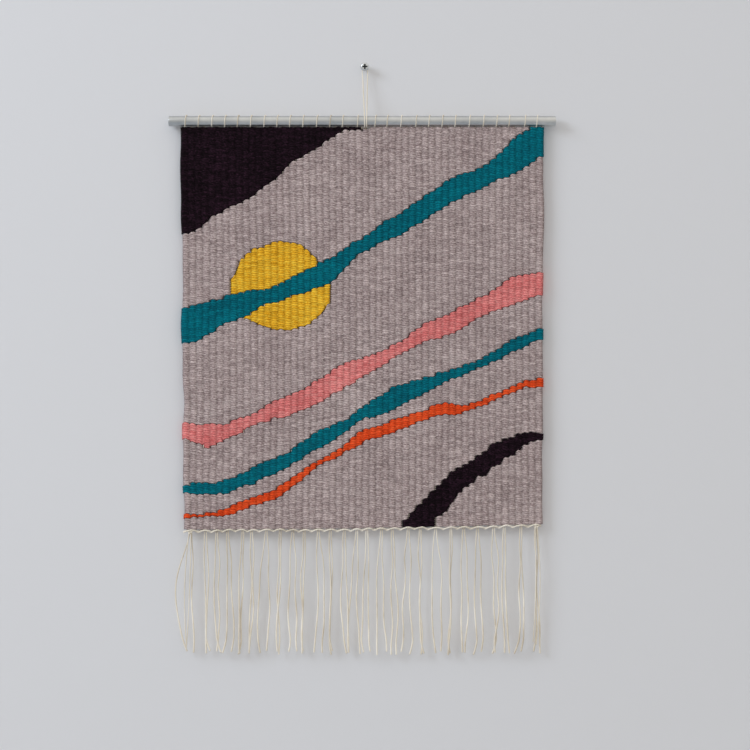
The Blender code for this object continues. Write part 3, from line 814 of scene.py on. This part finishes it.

# %% [markdown]
# ## Colour areas
# Each area is a shell of its own: front beads, back beads, and a narrow wall round its outline.
# Where two colours meet, the wool turns back and draws in, so the outline's points are pulled in
# and lie lower. That leaves fine creases and small slits, as in real tapestry, and painted shade
# makes them darker, deepest at the corners.

# %% One closed shell from a mask of cells
bead_fleck = np.random.default_rng(8).uniform(0, 1, (2, PICKS + 2, RIBS))
cell_row, cell_column = np.meshgrid(np.arange(ROWS), np.arange(COLUMNS), indexing="ij")
cell_rib = cell_column // COLUMNS_EACH
cell_pick = [((cell_row + 0.5) / ROWS_EACH + 0.5 * ((cell_rib + side) % 2)).astype(int)
             for side in (0, 1)]
cell_area = bead_area[cell_pick[0], cell_rib]
PULL_ACROSS = 0.38 * MM
PULL_DOWN = 0.10 * MM
STRIPE_PROUD = 0.8 * MM
# Painted shade along an area's outline, in its slits and at its corners
EDGE_PAINTED_SHADE, SLIT_PAINTED_SHADE, CORNER_PAINTED_SHADE = 0.75, 1.3, 1.7


def outline(mask):
    """For each grid point: cells of the mask round it, and which way they lie (x, then z)."""
    padded = np.pad(mask, 1).astype(int)
    up_left, up_right = padded[:-1, :-1], padded[:-1, 1:]
    low_left, low_right = padded[1:, :-1], padded[1:, 1:]
    count = up_left + up_right + low_left + low_right
    toward_x = np.sign(up_right + low_right - up_left - low_left)
    toward_z = np.sign(up_left + up_right - low_left - low_right)
    return count, toward_x, toward_z


def drawn_in(points, painted_shade, mask, proud):
    """One face's points with the area's outline drawn in and thinner, and its painted shade,
    darkest in slits and at corners. At the selvedges the coloured stripes stand `proud` of the grey."""
    count, toward_x, toward_z = outline(mask)
    edge = (count > 0) & (count < 4)
    outer = (column == 0) | (column == COLUMNS)
    slit = edge & ~outer & (toward_x != 0)
    corner = (count % 2 == 1) & ~outer
    points = points.copy()
    points[..., 0] += np.where(edge & ~outer, PULL_ACROSS * toward_x, 0)
    points[..., 2] += np.where(edge, PULL_DOWN * toward_z, 0)
    keep = np.where(edge, np.where(outer, 0.5, np.where(slit, 0.45, 0.80)), 1.0)
    points[..., 1] = middle_y + (points[..., 1] - middle_y) * keep
    reach = np.clip(1 - np.minimum(column, COLUMNS - column) / (1.6 * COLUMNS_EACH), 0, 1) ** 2
    points[..., 0] += proud * reach * np.where(column * 2 < COLUMNS, -1, 1)
    # Painted shade along the outline, more in slits and most at corners
    painted_shade = np.where(edge, np.maximum(painted_shade, EDGE_PAINTED_SHADE), painted_shade)
    return points, np.where(corner, CORNER_PAINTED_SHADE, np.where(slit, SLIT_PAINTED_SHADE, painted_shade))


def sleeve(mask, proud):
    """Points, faces, flecks and painted shade of the closed shell over a mask of cells."""
    front_points, front_outline_painted_shade = drawn_in(front, front_painted_shade, mask, proud)
    back_points, back_outline_painted_shade = drawn_in(back, back_painted_shade, mask, proud)
    used = outline(mask)[0] > 0
    total = int(used.sum())
    index = np.full(used.shape, -1)
    index[used] = np.arange(total)
    row, col = np.nonzero(mask)
    a, b = index[row, col], index[row, col + 1]
    c, d = index[row + 1, col + 1], index[row + 1, col]
    fleck = [bead_fleck[side][cell_pick[side][row, col], cell_rib[row, col]] for side in (0, 1)]
    faces = [np.stack([d, c, b, a], 1), np.stack([a, b, c, d], 1) + total]
    flecks = fleck.copy()
    padded = np.pad(mask, 1)
    open_sides = ((padded[row, col + 1], a, b), (padded[row + 2, col + 1], c, d),
                  (padded[row + 1, col], d, a), (padded[row + 1, col + 2], b, c))
    for neighbour, start, stop in open_sides:
        free = ~neighbour
        start, stop = start[free], stop[free]
        faces.append(np.stack([start, stop, stop + total, start + total], 1))
        flecks.append(fleck[0][free])
    points = np.vstack([front_points[used], back_points[used]])
    # The painted shade at each point of the shell
    deep = np.concatenate([front_outline_painted_shade[used], back_outline_painted_shade[used]])
    return points, np.vstack(faces), np.concatenate(flecks), deep


print("colour areas:", len(np.unique(cell_area)))

# %% [markdown]
# ## Weave every area
# All the areas hang from the rod by the warp, and ride on the same body as it. Each is a
# piece of its own, with its wool and the two attributes that the wool reads.

# %% Weave every area
for number, name in enumerate(AREAS):
    wool = name.split("_")[0]
    mask = cell_area == number
    points, faces, flecks, deep = sleeve(mask, 0.0 if wool == "grey" else STRIPE_PROUD)
    piece = add_piece("wool_" + name, points, faces.tolist(), WOOLS[wool], "weaving",
                      wool + "_wool", "weft_" + name)
    # Flecks are random tone for each bead, and the point values are painted shade
    for key, domain, values in (("fleck", "FACE", flecks), ("painted_shade", "POINT", deep)):
        layer = piece.data.attributes.new(key, "FLOAT", domain)
        layer.data.foreach_set("value", values.astype(np.float32))
    row, col = np.nonzero(mask)

# %% [markdown]
# ## Rod
# The rod is a length of drawn aluminium bar, cut square with the edges just broken. Drawing
# through a die leaves faint lines along the bar, so the highlight is a soft band.

# %% Rod
def drawn_aluminium(tree):
    """Drawn aluminium bar: bright grey metal, satin, with hairlines along X from the die."""
    place = add_node(tree, "TexCoord").outputs["Object"]
    lines_at = add_node(tree, "Mapping", Vector=place, Scale=(12, 2600, 2600))
    lines = add_node(tree, "TexNoise", Vector=lines_at, Scale=1.0, Detail=2.0)
    smudge = add_node(tree, "TexNoise", Vector=place, Scale=45.0, Detail=3.0)
    colour = add_node(tree, "ValToRGB", Fac=smudge)
    set_ramp(colour, (0.3, "#b3b6b7"), (0.7, "#cccdcb"))
    rough = add_node(tree, "MapRange", Value=lines, To_Min=0.28, To_Max=0.44)
    bump = add_node(tree, "Bump", Height=lines, Strength=0.25, Distance=0.05 * MM)
    return add_node(tree, "BsdfPrincipled", Base_Color=colour, Metallic=1.0, Roughness=rough,
                    Normal=bump)


def turn_round(radius, along, steps):
    """Rings round Y: a point is (radius cos a, along, radius sin a). The ends are poles.

    radius has one row for each ring, and along has one distance more at each end.
    """
    angle = 2 * np.pi * np.arange(steps) / steps
    rings = np.stack([radius * np.cos(angle), along[1:-1, None] + 0 * angle,
                      radius * np.sin(angle)], axis=2)
    points = np.vstack([rings.reshape(-1, 3), [0, along[0], 0], [0, along[-1], 0]])
    faces = ring_quads(len(rings), steps, CORNERS[::-1])[2].tolist()
    first, last, top = len(points) - 2, len(points) - 1, (len(rings) - 1) * steps
    faces += [[(i + 1) % steps, i, first] for i in range(steps)]
    return points, faces + [[top + i, top + (i + 1) % steps, last] for i in range(steps)]


BROKEN_EDGE = 0.5 * MM
ROD_STEPS = 64
edge_turn = np.radians(np.linspace(0, 90, 5))
edge = zip(ROD_RADIUS - BROKEN_EDGE * (1 - np.sin(edge_turn)),
           ROD_HALF - BROKEN_EDGE * (1 - np.cos(edge_turn)))
one_end = [(0, ROD_HALF), (0.6 * ROD_RADIUS, ROD_HALF), *edge]
barrel = [(ROD_RADIUS, share * ROD_HALF) for share in np.linspace(0.9, -0.9, 7)]
rod_profile = np.array(one_end + barrel + [(radius, -reach) for radius, reach in one_end[::-1]])
rod_points, rod_faces = turn_round(rod_profile[1:-1, :1], rod_profile[:, 1], ROD_STEPS)
rod = add_piece("aluminium_rod", rod_points[:, [1, 0, 2]] + [ROD_X, ROD_Y, ROD_Z], rod_faces,
                new_material("drawn_aluminium", drawn_aluminium), "rod", "aluminium_bar",
                "hanging_rod")
print("rod", round(2 * ROD_HALF, 4), "m long")

# %% [markdown]
# ## Screw
# A zinc-plated wood screw holds the cord off the wall. Its head and shank are turned, the thread
# climbs one pitch in every turn, and the cross recess is cut by a boolean, like a punch.

# %% Screw
def plating(tree, scale, detail, dark, pale, metal, rough):
    """Plated metal with a faint cloudy grain, in its colour and, between two limits, its gloss.

    Fresh zinc is pale blue-grey and fairly glossy. The cross recess gets a dark, dull grey, which
    is painted shade for the shadow inside it.
    """
    place = add_node(tree, "TexCoord").outputs["Object"]
    cloud = add_node(tree, "TexNoise", Vector=place, Scale=scale, Detail=detail)
    colour = add_node(tree, "ValToRGB", Fac=cloud)
    set_ramp(colour, (0.3, dark), (0.7, pale))
    gloss = add_node(tree, "MapRange", Value=cloud, To_Min=rough[0], To_Max=rough[1])
    return add_node(tree, "BsdfPrincipled", Base_Color=colour, Metallic=metal, Roughness=gloss)


def threaded_screw():
    """Head, plain shank and threaded shank as one turned grid.

    In the thread, radius = core + (crest - core) * (1 - |2 frac(turns - angle) - 1|)^2.
    """
    under, front_of_head, steps = -7.0 * MM, -10.0 * MM, 48
    head, core, pitch = 4.25 * MM, 1.25 * MM, 1.6 * MM
    tip, thread_from, thread_to = 28 * MM, 1.5 * MM, 27.0 * MM
    dome = np.radians(np.linspace(90, 0, 9))
    dome_radius = head * (0.62 + 0.38 * np.cos(dome))
    dome_y = under - 3.0 * MM * (0.30 + 0.70 * np.sin(dome))
    thread_y = np.arange(thread_from, thread_to, pitch / 10)
    radius = np.array([0.3 * head, *dome_radius, head, head - 0.15 * MM,
                       SHANK_RADIUS + 0.3 * MM, SHANK_RADIUS, SHANK_RADIUS])
    along = [front_of_head, front_of_head, *dome_y, under - 0.15 * MM, under, under,
             under + 0.3 * MM, thread_from - 0.2 * MM, *thread_y, tip]
    turns = (thread_y[:, None] / pitch - np.arange(steps) / steps) % 1
    ridge = (1 - np.abs(2 * turns - 1)) ** 2
    taper = np.clip((tip - thread_y) / (6 * MM), 0.12, 1)[:, None]
    thread = (core + (SHANK_RADIUS - core) * ridge) * taper
    rings = np.vstack([np.repeat(radius[:, None], steps, 1), thread])
    return turn_round(rings, np.array(along), steps)


def cross_cutter():
    """A tapered cross-shaped punch: wide at the head's face, narrow at the bottom."""
    half, arm = 0.72 * MM, 2.4 * MM
    x, z = np.array([half, half, arm]), np.array([arm, half, half])
    cross = np.array([[*x, *z, *-x, *-z], [0] * 12, [*z, *-x, *-z, *x]]).T
    points = np.vstack([cross * 1.15 - [0, 10.5 * MM, 0], cross * 0.70 - [0, 8.2 * MM, 0]])
    faces = [[i, (i + 1) % 12, (i + 1) % 12 + 12, i + 12] for i in range(12)]
    # The punch's material goes on to the recess faces: a dark, dull grey of painted shade for the
    # shadow in the cross
    recess_painted_shade = new_material("painted_shade_in_recess", plating, 2500.0, 2.0, "#1c2226", "#3a4247", 0.6,
                         (0.6, 0.6))
    return add_object("cross_cutter", points,
                      faces + [list(range(11, -1, -1)), list(range(12, 24))], recess_painted_shade)


zinc = new_material("zinc_plate", plating, 900.0, 3.0, "#c2c6c9", "#dcdfe0", 1.0, (0.18, 0.32))
screw = add_piece("zinc_screw", *threaded_screw(), zinc, "wall_fixing", "zinc_plate",
                  "wall_screw")
cutter = cross_cutter()
cut = screw.modifiers.new("recess", "BOOLEAN")
cut.operation = "DIFFERENCE"
cut.object = cutter
# The recess faces take the punch's painted shade material
cut.material_mode = "TRANSFER"
bpy.context.view_layer.update()
graph = bpy.context.evaluated_depsgraph_get()
screw.data = bpy.data.meshes.new_from_object(screw.evaluated_get(graph))
screw.modifiers.clear()
bpy.data.objects.remove(cutter, do_unlink=True)
screw.data.set_sharp_from_angle(angle=math.radians(38))
print("screw of", len(screw.data.polygons), "faces")

# %% [markdown]
# ## Wall, floor and light
# The wall is matt emulsion. It can be looked through from behind, so that the back of the hanging
# can be inspected. The light is a large soft source high on the left, and a pale room all round.

# %% Stage
def painted_wall(tree, code):
    """Matt emulsion on plaster: pale, with the fine orange-peel of a roller."""
    place = add_node(tree, "TexCoord").outputs["Object"]
    peel = add_node(tree, "TexNoise", Vector=place, Scale=260.0, Detail=2.0)
    bump = add_node(tree, "Bump", Height=peel, Strength=0.12, Distance=0.3 * MM)
    paint = add_node(tree, "BsdfPrincipled", Base_Color=linear(code), Roughness=0.9, Normal=bump,
                     Specular_IOR_Level=0.1)
    clear = add_node(tree, "BsdfTransparent")
    behind = add_node(tree, "NewGeometry").outputs["Backfacing"]
    shadow = add_node(tree, "LightPath").outputs["Is Shadow Ray"]
    either = add_node(tree, "Math", {"operation": "MAXIMUM"}, i0=behind, i1=shadow)
    return add_node(tree, "MixShader", i0=either, i1=paint, i2=clear)


REACH = 4.0
FLOOR_Z = -1.6
CEILING_Z = 2.0
# Name, (y, z) of the near edge and of the far edge, paint
for name, near, far, code in (("wall", (WALL_Y, FLOOR_Z), (WALL_Y, CEILING_Z), "#d7d7d9"),
                              ("floor", (-REACH, FLOOR_Z), (WALL_Y, FLOOR_Z), "#b2b6bb")):
    corners = [(-REACH, *near), (REACH, *near), (REACH, *far), (-REACH, *far)]
    add_object(name, corners, [[0, 1, 2, 3]],
                        new_material("painted_" + name, painted_wall, code))
print("stage: wall and floor")

# %% Lights
def add_area_light(name, place, size, power, code):
    """A square soft light at a place, turned to face the middle of the hanging."""
    lamp = bpy.data.lights.new(name, "AREA")
    lamp.size = size
    lamp.energy = power
    lamp.color = linear(code)[:3]
    light = bpy.data.objects.new(name, lamp)
    light.location = place
    direction = np.array([0, 0, VIEW_Z_MIDDLE]) - np.array(place)
    yaw = math.atan2(direction[0], -direction[1])
    pitch = math.atan2(math.hypot(direction[0], direction[1]), -direction[2])
    light.rotation_euler = (pitch, 0, yaw + math.pi)
    bpy.context.scene.collection.objects.link(light)


VIEW_Z_MIDDLE = -0.3
add_area_light("window_light", (-2.6, -1.6, 1.3), 1.4, 55, "#e4f0ff")
add_area_light("back_light", (0.6, 1.6, 0.4), 1.6, 20, "#ffffff")
world = bpy.data.worlds.new("pale_room")
bpy.context.scene.world = world
world.use_nodes = True
sky = world.node_tree
sky.nodes.clear()
direction = add_node(sky, "TexCoord").outputs["Generated"]
up = add_node(sky, "SeparateXYZ", Vector=direction).outputs["Z"]
height = add_node(sky, "MapRange", Value=up, From_Min=-1.0)
shades = add_node(sky, "ValToRGB", Fac=height)
set_ramp(shades, (0.0, "#8490a6"), (0.5, "#c6c3be"), (1.0, "#f5f1ec"))
add_node(sky, "OutputWorld", Surface=add_node(sky, "Background", Color=shades, Strength=1.22))
print("lights: window, back, room")

# %% [markdown]
